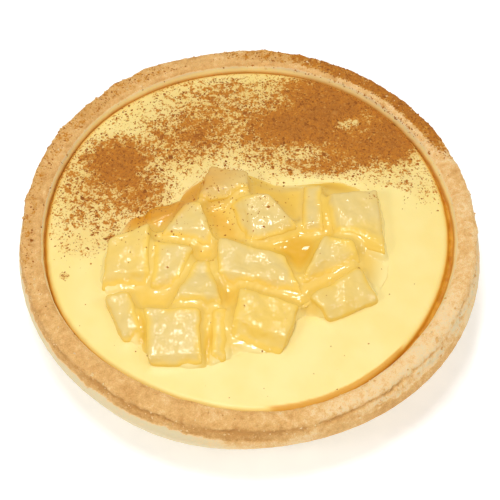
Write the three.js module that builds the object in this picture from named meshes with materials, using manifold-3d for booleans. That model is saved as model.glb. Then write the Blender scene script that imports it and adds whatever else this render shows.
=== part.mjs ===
// Apple custard pie, an individual tart 120 mm across: a shortcrust shell filled with set custard, and diced
// cooked fruit lying in a pool of jelly on top. Millimetres, +Z up, the middle of the foot at the origin.
import * as THREE from "three";
import { RoundedBoxGeometry } from "three/addons/geometries/RoundedBoxGeometry.js";
import { ImprovedNoise } from "three/addons/math/ImprovedNoise.js";
import { mergeVertices } from "three/addons/utils/BufferGeometryUtils.js";
import Module from "manifold-3d";

// Driving dimensions of the pastry shell
const RIM_RADIUS = 60;
const RIM_HEIGHT = 25;
const RIM_WIDTH = 6;
const LIP_DEPTH = 3.8;
const LIP_INSET = 0.3;
const LIP_ROUNDING = 1.3;
const NECK_INSET = 0.6;
const BULGE_DEPTH = 8;
const BULGE_SIZE = 0.8;
const FOOT_RADIUS = 52;
const FOOT_ROUNDING = 2;
const FLOOR_THICKNESS = 5;
const INNER_FLOOR_RADIUS = 44;
const INNER_FLOOR_ROUNDING = 2.4;
const INNER_EDGE_ROUNDING = 1.5;
const WALL_CURVE = 0.3;
const SHELL_SEGMENTS = 76;
// The foot was pressed a little to the left of the rim
const FOOT_SHIFT = -1.5;
// Where the wall swells outwards, and inwards at the rim: the middle of the swelling, its spread in radians,
// its size, its height and its half height
const SWELLINGS = [
  { angle: -0.6, spread: 0.9, size: 1.9, height: 18, reach: 7 },
  { angle: -2.0, spread: 0.8, size: 1.2, height: 12, reach: 9 },
];
const INNER_SWELLINGS = [{ angle: -1.9, spread: 0.95, size: 1.6, height: RIM_HEIGHT, reach: 12 }];
// At the front the lip leans in towards its top
const LEAN = { angle: -1.5, spread: 2.2, size: 1.7 };

// Hand-pressed unevenness: slow waves round the rim, and crumbs on the lip and the rim's top
const WAVES = [
  { lobes: 2, size: 0.25, phase: -1.57 },
  { lobes: 3, size: 0.15, phase: 1.0 },
  { lobes: 5, size: 0.25, phase: 2.18 },
];
const CRUMB_SIZE = 5.5;
const CRUMB_RELIEF = 0.7;
const TOP_RELIEF = 0.35;

// Driving dimensions of the custard
const CUSTARD_EDGE_HEIGHT = 21.8;
const CUSTARD_HEIGHT = 23.5;
const CUSTARD_CROWN = 0.6;
const CUSTARD_ROLL = 1.5;

// The custard has shrunk from the shell on the right and on the left, beyond a share of its reach
const EDGE_SHARE = 0.89;
const CLEARANCE = 0.3;
const SHRINKAGE = [
  { angle: -0.2, spread: 1.0, gap: 1.4 },
  { angle: 3.13, spread: 0.65, gap: 0.4 },
];

// Driving dimensions of the jelly pool; its reach is given every 15 degrees, counter-clockwise from +X
const JELLY_CENTRE = new THREE.Vector2(-1, -12);
const JELLY_REACH = [
  37, 37.5, 41.5, 38, 31, 28, 31, 32.5, 29, 29, 33, 34.5,
  37.5, 35.5, 35, 35, 33.5, 29.5, 24.5, 26, 22.5, 20, 29, 34,
];
const JELLY_FLOOR = 20.6;
const JELLY_EDGE_HEIGHT = 23.7;
const JELLY_EDGE_DEPTH = 0.6;
const JELLY_HEIGHT = 24.9;
const JELLY_SEGMENTS = 42;

// Each dice of fruit: its corners in plan (back left, back right, front right, front left), the height of its
// top, how far that top rises from left to right and from front to back, and how wide the knife's slanting
// cuts are along its front and its left edge
const FRUIT_FLOOR = 19.4;
const FRUIT_ROUNDING = 1.3;
const FRUIT_SEGMENTS = 2;
// The slope of those cuts in degrees, and a reach beyond the largest dice
const CUT_SLOPE = 38;
const CUT_REACH = 40;
// Edge segments of the holes that the dice leave in the jelly, and of the dents under them in the custard
const HOLE_SEGMENTS = 1;
const DENT_SEGMENTS = 0;
const FRUIT = [
  {
    name: "back",
    corners: [[-9.9, 17], [-0.7, 15.4], [0, 8.5], [-12.7, 6.6]],
    top: 28,
    tilt: [0.4, -1.2],
    cuts: { front: 2 },
  },
  {
    name: "middle_back",
    corners: [[-5.1, 6.6], [5.3, 7.2], [12.6, -1.5], [0, -5.5]],
    top: 28,
    tilt: [0.8, 1],
    cuts: { front: 2, left: 2.8 },
  },
  {
    name: "left_back",
    corners: [[-16.4, 5.2], [-12.5, 5.2], [-8.4, -6.1], [-22.4, -3.6]],
    top: 27.5,
    tilt: [0.8, 0.6],
    cuts: { front: 2.4 },
  },
  {
    name: "left",
    corners: [[-35.6, -5.6], [-25.7, -1.2], [-25.1, -18.5], [-36.6, -18.4]],
    top: 27.2,
    tilt: [0.8, 1.2],
    cuts: { front: 3.6 },
  },
  {
    name: "left_middle",
    corners: [[-24, -6], [-14.3, -8.6], [-18.2, -19.7], [-23.9, -20]],
    top: 27,
    tilt: [0.6, 1],
    cuts: { front: 3.2 },
  },
  {
    name: "wedge",
    corners: [[-13.8, -12.5], [-9.9, -12.3], [-6.8, -24.4], [-19.3, -24.5]],
    top: 27.4,
    tilt: [-0.3, -1],
    cuts: { front: 2.6 },
  },
  {
    name: "middle",
    corners: [[-7.4, -6], [9.4, -10.2], [13.3, -20.4], [-7.2, -18.8]],
    top: 27.4,
    tilt: [-1.2, 0.9],
    cuts: { front: 3.2 },
  },
  {
    name: "left_front",
    corners: [[-35.8, -22.3], [-29.8, -20.9], [-26, -32.4], [-31.4, -33.8]],
    top: 25.8,
    tilt: [0.6, 0.8],
    cuts: { front: 2.2 },
  },
  {
    name: "front",
    corners: [[-25.8, -26.1], [-12.5, -26.3], [-11.8, -40], [-24.2, -40.2]],
    top: 26.4,
    tilt: [0.3, 1.4],
    cuts: { front: 2 },
  },
  {
    name: "front_sliver",
    corners: [[-8.7, -26], [-4.9, -25.2], [-5.7, -38.7], [-8.8, -39.1]],
    top: 25.6,
    tilt: [-0.6, 1],
    cuts: { front: 2 },
  },
  {
    name: "front_right",
    corners: [[-1.8, -20.7], [12.6, -25.2], [8, -37.3], [-4.4, -34]],
    top: 27.4,
    tilt: [-0.9, 0.8],
    cuts: { front: 4.2 },
  },
  {
    name: "right_back_sliver",
    corners: [[14.6, 12], [18.9, 12], [18.9, -2.3], [14.2, -2.2]],
    top: 26.4,
    tilt: [0.4, -0.6],
    cuts: { front: 2.5 },
  },
  {
    name: "right_back",
    corners: [[20, 7.6], [33.3, 9.9], [34.7, -8.6], [22.5, -4.4]],
    top: 27.4,
    tilt: [-1, 0.6],
    cuts: { front: 2.4, left: 2.2 },
  },
  {
    name: "right_middle",
    corners: [[19.4, -5], [26.5, -6.8], [28.2, -11.8], [13.4, -17.8]],
    top: 27.6,
    tilt: [-0.5, 1.2],
    cuts: { front: 2.6 },
  },
  {
    name: "right",
    corners: [[15.6, -22.7], [27.6, -13.6], [32.4, -22.1], [20.7, -27.9]],
    top: 26.8,
    tilt: [-0.8, 1],
    cuts: { front: 2.2 },
  },
  {
    name: "left_back_sunk",
    corners: [[-24.9, 5.6], [-18, 7.4], [-19, 3], [-25.5, 0.8]],
    top: 25,
    tilt: [0.8, -0.5],
    cuts: {},
  },
];

const wasm = await Module();
wasm.setup();
const noise = new ImprovedNoise();

// Moves each vertex of a geometry in place by a rule that changes the point it is given.
function reshape(geometry, rule) {
  const positions = geometry.getAttribute("position");
  const point = new THREE.Vector3();
  for (let i = 0; i < positions.count; i += 1) {
    point.fromBufferAttribute(positions, i);
    rule(point);
    positions.setXYZ(i, point.x, point.y, point.z);
  }
  return geometry;
}

// Turns a profile of [radius, height] pairs once round the Z axis.
function turned(profile, segments) {
  const points = profile.map(([radius, height]) => new THREE.Vector2(radius, height));
  return new THREE.LatheGeometry(points, segments).rotateX(Math.PI / 2);
}

function solidOf(geometry) {
  const bare = geometry.clone();
  bare.deleteAttribute("normal");
  bare.deleteAttribute("uv");
  const merged = mergeVertices(bare);
  const mesh = new wasm.Mesh({
    numProp: 3,
    vertProperties: new Float32Array(merged.getAttribute("position").array),
    triVerts: new Uint32Array(merged.index.array),
  });
  return new wasm.Manifold(mesh);
}

function geometryOf(solid) {
  const { vertProperties, triVerts } = solid.getMesh();
  const geometry = new THREE.BufferGeometry();
  geometry.setAttribute("position", new THREE.BufferAttribute(vertProperties, 3));
  geometry.setIndex(new THREE.BufferAttribute(triVerts, 1));
  geometry.computeVertexNormals();
  return geometry;
}

// The largest body of a solid; a cut can leave loose scraps beside it.
function mainBody(solid) {
  const bodies = solid.decompose();
  return bodies.reduce((largest, body) => (body.volume() > largest.volume() ? body : largest));
}

// Takes a point of the round pie to its place in the hand-shaped one: the rim has the waves in full, the
// foot has the shift, and push moves the point further out from the middle.
function handShape(point, push) {
  const share = point.z / RIM_HEIGHT;
  const angle = Math.atan2(point.y, point.x);
  const wave = WAVES.reduce((sum, { lobes, size, phase }) => sum + size * Math.sin(lobes * angle + phase), 0);
  const radius = Math.hypot(point.x, point.y);
  const scale = radius > 0 ? (radius + wave * share + push) / radius : 0;
  point.x = point.x * scale + FOOT_SHIFT * (1 - share);
  point.y *= scale;
}

// A smooth bump: 1 in the middle, 0 from one unit away.
function bump(away) {
  return Math.abs(away) < 1 ? Math.cos((away * Math.PI) / 2) ** 2 : 0;
}

// The turn from a place on the pie to an angle, in units of the place's spread.
function turnFrom(place, angle) {
  const turn = angle - place.angle;
  return Math.atan2(Math.sin(turn), Math.cos(turn)) / place.spread;
}

// How far the wall swells at an angle and a height.
function swelling(places, angle, height) {
  const share = (place) => bump(turnFrom(place, angle)) * bump((height - place.height) / place.reach);
  return places.reduce((sum, place) => sum + place.size * share(place), 0);
}

// Radius of the shell's inside wall at a height; the wall curves in towards the floor.
function insideRadius(height) {
  const rimInside = RIM_RADIUS - RIM_WIDTH;
  const rise = (height - FLOOR_THICKNESS) / (RIM_HEIGHT - FLOOR_THICKNESS);
  return THREE.MathUtils.lerp(INNER_FLOOR_RADIUS, rimInside, rise ** WALL_CURVE);
}

// Points of a rounded edge about a middle, at turns in degrees from straight out to straight up.
function edge([radius, height], across, up, turns) {
  return turns.map((turn) => {
    const angle = THREE.MathUtils.degToRad(turn);
    return [radius + across * Math.cos(angle), height + up * Math.sin(angle)];
  });
}

function crustGeometry() {
  const lipBottom = RIM_HEIGHT - LIP_DEPTH;
  const wallTop = RIM_HEIGHT - BULGE_DEPTH;
  const bulgeFoot = RIM_RADIUS - BULGE_SIZE;
  const lipMiddle = [RIM_RADIUS - LIP_INSET - LIP_ROUNDING, RIM_HEIGHT - LIP_ROUNDING];
  const innerEdge = RIM_HEIGHT - INNER_EDGE_ROUNDING;
  const innerMiddle = [insideRadius(innerEdge) + INNER_EDGE_ROUNDING, innerEdge];
  const wall = (share) => [
    THREE.MathUtils.lerp(FOOT_RADIUS, bulgeFoot, share),
    THREE.MathUtils.lerp(FOOT_ROUNDING, wallTop, share),
  ];
  const inside = (height) => [insideRadius(height), height];
  const profile = [
    [0, 0],
    ...edge([FOOT_RADIUS - FOOT_ROUNDING, FOOT_ROUNDING], FOOT_ROUNDING, FOOT_ROUNDING, [-90, -45, 0]),
    wall(0.35),
    wall(0.7),
    wall(1),
    ...edge([bulgeFoot, (wallTop + lipBottom) / 2], BULGE_SIZE, (lipBottom - wallTop) / 2, [-40, 0, 50]),
    [RIM_RADIUS - NECK_INSET, lipBottom],
    ...edge(lipMiddle, LIP_ROUNDING, LIP_ROUNDING, [0, 45, 80]),
    [RIM_RADIUS - RIM_WIDTH / 2, RIM_HEIGHT],
    ...edge(innerMiddle, INNER_EDGE_ROUNDING, INNER_EDGE_ROUNDING, [105, 140, 180]),
    inside(CUSTARD_EDGE_HEIGHT),
    inside(CUSTARD_EDGE_HEIGHT - CUSTARD_ROLL),
    inside(FLOOR_THICKNESS + 2.5 * INNER_FLOOR_ROUNDING),
    inside(FLOOR_THICKNESS + INNER_FLOOR_ROUNDING),
    [INNER_FLOOR_RADIUS, FLOOR_THICKNESS + INNER_FLOOR_ROUNDING / 4],
    [INNER_FLOOR_RADIUS - INNER_FLOOR_ROUNDING, FLOOR_THICKNESS],
    [0, FLOOR_THICKNESS],
  ];
  return reshape(turned(profile, SHELL_SEGMENTS), (point) => {
    const radius = Math.hypot(point.x, point.y);
    const crumb = noise.noise(point.x / CRUMB_SIZE, point.y / CRUMB_SIZE, point.z / CRUMB_SIZE);
    const outside = radius >= RIM_RADIUS - RIM_WIDTH / 2 || point.z < FLOOR_THICKNESS;
    const onTop = point.z > RIM_HEIGHT - LIP_ROUNDING / 2;
    const angle = Math.atan2(point.y, point.x);
    const lipShare = Math.max(0, (point.z - lipBottom) / LIP_DEPTH);
    const lean = LEAN.size * bump(turnFrom(LEAN, angle)) * lipShare;
    const crumbs = CRUMB_RELIEF * crumb * Math.sign(lipShare);
    const outward = swelling(SWELLINGS, angle, point.z) + crumbs - lean;
    handShape(point, outside ? outward : -swelling(INNER_SWELLINGS, angle, point.z));
    if (onTop) point.z += TOP_RELIEF * crumb;
  });
}

// How far the custard's edge has drawn back from the shell at an angle.
function shrinkage(angle) {
  return SHRINKAGE.reduce((sum, place) => sum + place.gap * bump(turnFrom(place, angle)), 0);
}

function custardGeometry() {
  const side = (height) => [insideRadius(height) - CLEARANCE, height];
  const reach = insideRadius(CUSTARD_EDGE_HEIGHT) - CLEARANCE;
  const rollHeight = CUSTARD_HEIGHT - CUSTARD_CROWN - CUSTARD_EDGE_HEIGHT;
  const crown = (share) => [share * reach, CUSTARD_HEIGHT - CUSTARD_CROWN * share ** 4];
  const profile = [
    [0, FLOOR_THICKNESS + CLEARANCE],
    [INNER_FLOOR_RADIUS - INNER_FLOOR_ROUNDING, FLOOR_THICKNESS + CLEARANCE],
    side(FLOOR_THICKNESS + INNER_FLOOR_ROUNDING + CLEARANCE),
    side(CUSTARD_EDGE_HEIGHT - CUSTARD_ROLL),
    ...edge([reach - CUSTARD_ROLL, CUSTARD_EDGE_HEIGHT], CUSTARD_ROLL, rollHeight, [0, 35, 70]),
    crown(0.9),
    crown(0.77),
    crown(0.54),
    [0, CUSTARD_HEIGHT],
  ];
  return reshape(turned(profile, SHELL_SEGMENTS), (point) => {
    const angle = Math.atan2(point.y, point.x);
    const atTop = point.z > CUSTARD_EDGE_HEIGHT - CUSTARD_ROLL / 2;
    const atEdge = Math.hypot(point.x, point.y) > EDGE_SHARE * reach;
    const drawnBack = atTop && atEdge ? shrinkage(angle) : 0;
    const pressed = atEdge ? swelling(INNER_SWELLINGS, angle, point.z) : 0;
    handShape(point, -drawnBack - pressed);
  });
}

// Reach of the jelly pool at an angle, on a smooth closed curve through the given reaches.
const jellyOutline = new THREE.CatmullRomCurve3(
  JELLY_REACH.map((reach) => new THREE.Vector3(reach, 0, 0)),
  true,
  "catmullrom",
);

function jellyReach(angle) {
  const share = THREE.MathUtils.euclideanModulo(angle, 2 * Math.PI) / (2 * Math.PI);
  return jellyOutline.getPoint(share).x;
}

// A pool whose profile is given as [share of the reach, height] pairs, grown outward all round.
function pool(profile, grow) {
  return reshape(turned(profile, JELLY_SEGMENTS), (point) => {
    const share = Math.hypot(point.x, point.y);
    const angle = Math.atan2(point.y, point.x);
    const radius = share * (jellyReach(angle) + grow);
    point.x = JELLY_CENTRE.x + radius * Math.cos(angle);
    point.y = JELLY_CENTRE.y + radius * Math.sin(angle);
  });
}

// The shallow bowl under the pool, from its middle to the lower side of the pool's edge.
function bowlProfile(drop) {
  const depth = JELLY_EDGE_HEIGHT - JELLY_EDGE_DEPTH - JELLY_FLOOR;
  return [0, 0.5, 0.7, 0.85, 1].map((share) => [share, JELLY_FLOOR + depth * share ** 4 - drop]);
}

function jellyGeometry() {
  const profile = [
    ...bowlProfile(0),
    [0.99, JELLY_EDGE_HEIGHT],
    [0.95, JELLY_EDGE_HEIGHT + JELLY_EDGE_DEPTH],
    [0.8, JELLY_HEIGHT - JELLY_EDGE_DEPTH],
    [0.5, JELLY_HEIGHT - JELLY_EDGE_DEPTH / 6],
    [0, JELLY_HEIGHT],
  ];
  return pool(profile, 0);
}

// The hollow that the jelly has made in the custard, open at the top.
function hollowGeometry() {
  return pool([...bowlProfile(CLEARANCE), [1, RIM_HEIGHT], [0, RIM_HEIGHT]], CLEARANCE);
}

// A dice's corners in plan, with its mean length from left to right and its mean depth from front to back.
function planOf({ corners }) {
  const [backLeft, backRight, frontRight, frontLeft] = corners.map(([x, y]) => new THREE.Vector2(x, y));
  const length = (backLeft.distanceTo(backRight) + frontLeft.distanceTo(frontRight)) / 2;
  const depth = (backLeft.distanceTo(frontLeft) + backRight.distanceTo(frontRight)) / 2;
  return { backLeft, backRight, frontRight, frontLeft, length, depth };
}

// A dice drawn to four corners in plan, with a sloping top, and with rounded edges unless it has no segments
// there; grow makes it larger.
function fruitGeometry(dice, grow, segments) {
  const { backLeft, backRight, frontRight, frontLeft, length, depth } = planOf(dice);
  const { top, tilt } = dice;
  const height = top - FRUIT_FLOOR;
  const sizes = [length, depth, height].map((size) => size + 2 * grow);
  const box =
    segments > 0
      ? new RoundedBoxGeometry(...sizes, segments, FRUIT_ROUNDING + grow)
      : new THREE.BoxGeometry(...sizes);
  return reshape(box, (point) => {
    const across = point.x / length + 0.5;
    const back = point.y / depth + 0.5;
    const up = point.z / height + 0.5;
    const frontEdge = frontLeft.clone().lerp(frontRight, across);
    const backEdge = backLeft.clone().lerp(backRight, across);
    const plan = frontEdge.lerp(backEdge, back);
    const rise = up * (tilt[0] * (across - 0.5) + tilt[1] * (back - 0.5));
    point.set(plan.x, plan.y, FRUIT_FLOOR + up * height + rise);
  });
}

// What the knife takes off a dice along one edge: all that lies above a plane which slopes down to that edge
// from a ridge on the top, width away from it.
function cutGeometry(dice, side, width) {
  const { backLeft, frontRight, frontLeft, length, depth } = planOf(dice);
  const [from, to, across, rise] =
    side === "front"
      ? [frontLeft, frontRight, depth, dice.tilt[1]]
      : [backLeft, frontLeft, length, dice.tilt[0]];
  const along = to.clone().sub(from).normalize();
  const inward = new THREE.Vector2(-along.y, along.x);
  const ridge = from.clone().lerp(to, 0.5).addScaledVector(inward, width);
  const ridgeHeight = dice.top + rise * (width / across - 0.5);
  const slope = THREE.MathUtils.degToRad(CUT_SLOPE);
  const outward = inward.multiplyScalar(-Math.sin(slope));
  const upright = new THREE.Vector3(0, 0, 1);
  const turn = new THREE.Quaternion().setFromUnitVectors(
    upright,
    new THREE.Vector3(outward.x, outward.y, Math.cos(slope)),
  );
  return new THREE.BoxGeometry(CUT_REACH, CUT_REACH, CUT_REACH)
    .translate(0, 0, CUT_REACH / 2)
    .applyQuaternion(turn)
    .translate(ridge.x, ridge.y, ridgeHeight);
}

function cutDice(dice) {
  const cuts = Object.entries(dice.cuts).map(([side, width]) => solidOf(cutGeometry(dice, side, width)));
  return cuts.reduce((rest, cut) => rest.subtract(cut), solidOf(fruitGeometry(dice, 0, FRUIT_SEGMENTS)));
}

const pastry = new THREE.MeshStandardMaterial({ color: 0xdcb981, roughness: 0.85, metalness: 0 });
const setCustard = new THREE.MeshStandardMaterial({ color: 0xfdea98, roughness: 0.4, metalness: 0 });
const amberJelly = new THREE.MeshStandardMaterial({ color: 0xeebc46, roughness: 0.1, metalness: 0 });
const cookedFruit = new THREE.MeshStandardMaterial({ color: 0xf0d98c, roughness: 0.2, metalness: 0 });

const pie = new THREE.Group();

function addPiece(name, geometry, material) {
  const mesh = new THREE.Mesh(geometry, material);
  mesh.name = name;
  pie.add(mesh);
}

// Cuts the room of each dice out of a solid and keeps the main body of the rest.
function withoutFruit(solid, segments) {
  const rooms = FRUIT.map((dice) => solidOf(fruitGeometry(dice, CLEARANCE, segments)));
  return geometryOf(mainBody(rooms.reduce((rest, room) => rest.subtract(room), solid)));
}

const hollowedCustard = solidOf(custardGeometry()).subtract(solidOf(hollowGeometry()));

addPiece("crust", crustGeometry(), pastry);
addPiece("custard", withoutFruit(hollowedCustard, DENT_SEGMENTS), setCustard);
addPiece("jelly", withoutFruit(solidOf(jellyGeometry()), HOLE_SEGMENTS), amberJelly);
FRUIT.forEach((dice) => {
  addPiece("fruit_" + dice.name, geometryOf(cutDice(dice)), cookedFruit.clone());
});

export default pie;
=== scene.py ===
"""Looks of an apple custard pie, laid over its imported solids.

A shortcrust shell holds set custard. Diced cooked fruit lies on it in a pool of amber jelly, and the
back of the pie is dusted with cinnamon. Sizes are millimetres, as in the part's own drawing, and turn
to metres where a mesh is written.
"""

import logging
import math
from collections.abc import Iterable, Sequence
from dataclasses import dataclass
from enum import Enum
from typing import Any

import bmesh
import bpy
import numpy as np
from bpy.types import ID, Material, Mesh, Node, NodeSocket, NodeTree, Object
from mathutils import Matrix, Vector, noise
from mathutils.bvhtree import BVHTree
from mathutils.kdtree import KDTree


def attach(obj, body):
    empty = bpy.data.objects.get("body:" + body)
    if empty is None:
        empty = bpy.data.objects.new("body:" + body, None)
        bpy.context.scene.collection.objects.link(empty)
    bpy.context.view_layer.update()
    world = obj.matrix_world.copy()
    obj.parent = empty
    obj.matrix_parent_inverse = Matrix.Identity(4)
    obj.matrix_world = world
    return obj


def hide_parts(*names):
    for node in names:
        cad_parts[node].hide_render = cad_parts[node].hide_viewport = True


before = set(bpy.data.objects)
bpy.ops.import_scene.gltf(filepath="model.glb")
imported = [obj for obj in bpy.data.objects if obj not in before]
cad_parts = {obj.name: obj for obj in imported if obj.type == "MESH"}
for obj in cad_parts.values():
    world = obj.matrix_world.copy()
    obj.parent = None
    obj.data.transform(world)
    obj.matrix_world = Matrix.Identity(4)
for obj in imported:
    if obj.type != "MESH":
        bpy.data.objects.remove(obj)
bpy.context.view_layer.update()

log = logging.getLogger("pie")

MM = 0.001
BODY = "root"
DOWN = Vector((0, 0, -1))

# How many lumps apart two seeds read the noise
SEED_STEP = np.array([17.3, 5.1, 9.7])

Array = np.ndarray
# Where something starts and where it is complete
Range = tuple[float, float]


class Slot(Enum):
    """The material slots."""

    PASTRY = "pastry"
    CUSTARD = "set_custard"
    JELLY = "fruit_jelly"
    FRUIT = "cooked_fruit"


# Shares and patterns


def linear(colour: str) -> tuple[float, float, float, float]:
    """Turns an sRGB hex colour into linear light.

    Args:
        colour: six hex digits after a hash.

    Returns:
        Red, green, blue and a full alpha.
    """
    shares = [int(colour[i : i + 2], 16) / 255 for i in (1, 3, 5)]
    red, green, blue = [c / 12.92 if c <= 0.04045 else ((c + 0.055) / 1.055) ** 2.4 for c in shares]
    return red, green, blue, 1.0


def ease(value: Array, low: float, high: float) -> Array:
    """Rises smoothly from 0 at low to 1 at high, or falls where high is the lower."""
    share = np.clip((value - low) / (high - low), 0, 1)
    return share * share * (3 - 2 * share)


@dataclass(frozen=True)
class Relief:
    """Soft lumps on a surface: their width, their height, a seed and how many layers the noise has."""

    width: float
    height: float
    seed: int
    layers: int = 2

    def raw(self, points: Array) -> Array:
        """The noise alone, from about -1 to 1.

        Args:
            points: places in millimetres.

        Returns:
            One number for each place.
        """
        fall, finer = 1.0, 2.0
        places = points / self.width + SEED_STEP * self.seed
        return np.array([noise.fractal(place, fall, finer, self.layers) for place in places])

    def lift(self, points: Array) -> Array:
        """How high the lumps are at each place."""
        return self.height * self.raw(points)


@dataclass(frozen=True)
class Patch:
    """A soft oval on the pie: its middle, half length, half width, turn in degrees and amount."""

    x: float
    y: float
    length: float
    width: float
    turn: float
    amount: float

    def at(self, points: Array) -> Array:
        """How much of the patch lies at each place.

        Args:
            points: places in millimetres.

        Returns:
            The amount at each place.
        """
        angle = math.radians(self.turn)
        right, back = points[:, 0] - self.x, points[:, 1] - self.y
        along = right * math.cos(angle) + back * math.sin(angle)
        across = back * math.cos(angle) - right * math.sin(angle)
        steepness = 1.5
        away = (along / self.length) ** 2 + (across / self.width) ** 2
        return self.amount * np.exp(-(away**steepness))


def total(patches: Sequence[Patch], points: Array) -> Array:
    """The sum of several patches at each place."""
    return sum(patch.at(points) for patch in patches)


@dataclass(frozen=True)
class Sector:
    """A stretch of the pie's round, in radians: its middle, half its width, and half the width it fills."""

    middle: float
    spread: float
    full: float

    def at(self, points: Array) -> Array:
        """How far each place is in the sector, from 0 to 1."""
        turn = np.arctan2(points[:, 1], points[:, 0])
        return ease(np.abs(turn - self.middle), self.spread, self.full)


# Mesh work


def add_object(name: str, data: ID) -> Object:
    """Puts a mesh, a lamp or a camera in the scene."""
    made = bpy.data.objects.new(name, data)
    bpy.context.scene.collection.objects.link(made)
    return made


def vectors(items: bpy.types.bpy_prop_collection, name: str) -> Array:
    """Reads one vector from each item of a mesh.

    Args:
        items: the mesh's vertices, or its normals.
        name: the property that holds the vector.

    Returns:
        The vectors.
    """
    flat = np.empty(len(items) * 3, np.float32)
    items.foreach_get(name, flat)
    return flat.reshape(-1, 3).astype(float)


def points_of(mesh: Mesh) -> Array:
    """Places of a mesh's vertices in millimetres."""
    return vectors(mesh.vertices, "co") / MM


def normals_of(mesh: Mesh) -> Array:
    """Normals of a mesh's vertices."""
    return vectors(mesh.vertex_normals, "vector")


def set_points(mesh: Mesh, points: Array) -> None:
    """Moves a mesh's vertices to places in millimetres."""
    mesh.vertices.foreach_set("co", (points * MM).astype(np.float32).ravel())
    mesh.update()


def set_attribute(mesh: Mesh, name: str, values: Array) -> None:
    """Stores one number for each vertex, for a material to read."""
    attribute = mesh.attributes.new(name, "FLOAT", "POINT")
    attribute.data.foreach_set("value", values.astype(np.float32))


def new_piece(name: str, points: Array, faces: Iterable[Sequence[int]]) -> Object:
    """Makes an object from vertices and faces.

    Args:
        name: the piece's name.
        points: vertices in millimetres.
        faces: vertex numbers of each face.

    Returns:
        The object, linked to the scene.
    """
    mesh = bpy.data.meshes.new(name)
    mesh.from_pydata((points * MM).tolist(), [], list(faces))
    mesh.update()
    return add_object(name, mesh)


def solid_copy(node: str, name: str) -> Object:
    """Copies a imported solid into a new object, with its split edges welded.

    Args:
        node: the solid's node.
        name: the new piece's name.

    Returns:
        The new object.
    """
    weld = 0.001 * MM
    mesh = bpy.data.meshes.new(name)
    form = bmesh.new()
    form.from_mesh(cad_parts[node].data)
    bmesh.ops.remove_doubles(form, verts=form.verts, dist=weld)
    bmesh.ops.recalc_face_normals(form, faces=form.faces)
    form.to_mesh(mesh)
    form.free()
    mesh.materials.clear()
    return add_object(name, mesh)


def soften(piece: Object, voxel: float, rounds: int) -> None:
    """Rebuilds a closed form in small even faces and smooths its facets away.

    Args:
        piece: the object to change.
        voxel: width of the new faces in millimetres.
        rounds: rounds of smoothing.
    """
    remesh = piece.modifiers.new("even_faces", "REMESH")
    remesh.mode = "VOXEL"
    remesh.voxel_size = voxel * MM
    smooth = piece.modifiers.new("smooth", "SMOOTH")
    smooth.factor = 0.5
    smooth.iterations = rounds
    graph = bpy.context.evaluated_depsgraph_get()
    mesh = bpy.data.meshes.new_from_object(piece.evaluated_get(graph))
    old = piece.data
    piece.modifiers.clear()
    piece.data = mesh
    bpy.data.meshes.remove(old)
    mesh.name = piece.name
    mesh.shade_smooth()


def grow(piece: Object, amount: float | Array) -> None:
    """Moves a piece's surface outward along its normals, in millimetres."""
    mesh = piece.data
    set_points(mesh, points_of(mesh) + normals_of(mesh) * np.reshape(amount, (-1, 1)))


def merged(name: str, pieces: Sequence[Object]) -> Object:
    """Gathers copies of several closed forms in one object.

    Args:
        name: the new object's name.
        pieces: the forms to gather.

    Returns:
        The new object.
    """
    points = []
    faces = []
    count = 0
    for piece in pieces:
        points.append(points_of(piece.data))
        faces += [[count + i for i in face.vertices] for face in piece.data.polygons]
        count += len(piece.data.vertices)
    return new_piece(name, np.concatenate(points), faces)


def discard(*pieces: Object) -> None:
    """Removes working copies that nothing shows."""
    for piece in pieces:
        bpy.data.objects.remove(piece)


def surface(piece: Object) -> BVHTree:
    """The piece's surface, for rays to meet."""
    form = bmesh.new()
    form.from_mesh(piece.data)
    tree = BVHTree.FromBMesh(form)
    form.free()
    return tree


def gaps_to(tree: BVHTree, mesh: Mesh) -> Array:
    """How far each vertex of a mesh is from a surface, in millimetres."""
    return np.array([tree.find_nearest(vertex.co)[3] / MM for vertex in mesh.vertices])


# Finishes

# A Mix node's share and its two colours, by number because the names of its sockets repeat
SHARE, BELOW, ABOVE = 0, 6, 7
# Settings that several nodes have
COLOUR_MIX = {"data_type": "RGBA", "output": 2}
SCALED_SUM = {"operation": "MULTIPLY_ADD"}
SMOOTH_STEP = {"interpolation_type": "SMOOTHSTEP"}


def per_mm(size: float) -> float:
    """Scale of a texture whose features are a size in millimetres."""
    return 1 / (size * MM)


def feed(tree: NodeTree, node: Node, inputs: dict[str | int, Any]) -> None:
    """Sets or links a node's inputs.

    Args:
        tree: the material's nodes.
        node: the node.
        inputs: input name or number to its value, or to the output that feeds it.
    """
    for key, value in inputs.items():
        if isinstance(value, NodeSocket):
            tree.links.new(value, node.inputs[key])
        else:
            node.inputs[key].default_value = value


def add_node(
    tree: NodeTree,
    kind: str,
    inputs: dict[str | int, Any] | None = None,
    stops: Sequence[tuple[float, str]] = (),
    output: str | int = 0,
    **settings: Any,
) -> NodeSocket:
    """Adds a node with its settings and links.

    Args:
        tree: the material's nodes.
        kind: the node's type.
        inputs: input name or number to its value, or to the output that feeds it.
        stops: places and hex colours of a colour ramp.
        output: name or number of the output that is used.
        settings: the node's own properties.

    Returns:
        The output that is used.
    """
    made = tree.nodes.new("ShaderNode" + kind)
    for name, value in settings.items():
        setattr(made, name, value)
    feed(tree, made, inputs or {})
    for i, (position, colour) in enumerate(stops):
        known = made.color_ramp.elements
        stop = known[i] if i < len(known) else known.new(position)
        stop.position = position
        stop.color = linear(colour)
    return made.outputs[output]


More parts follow.
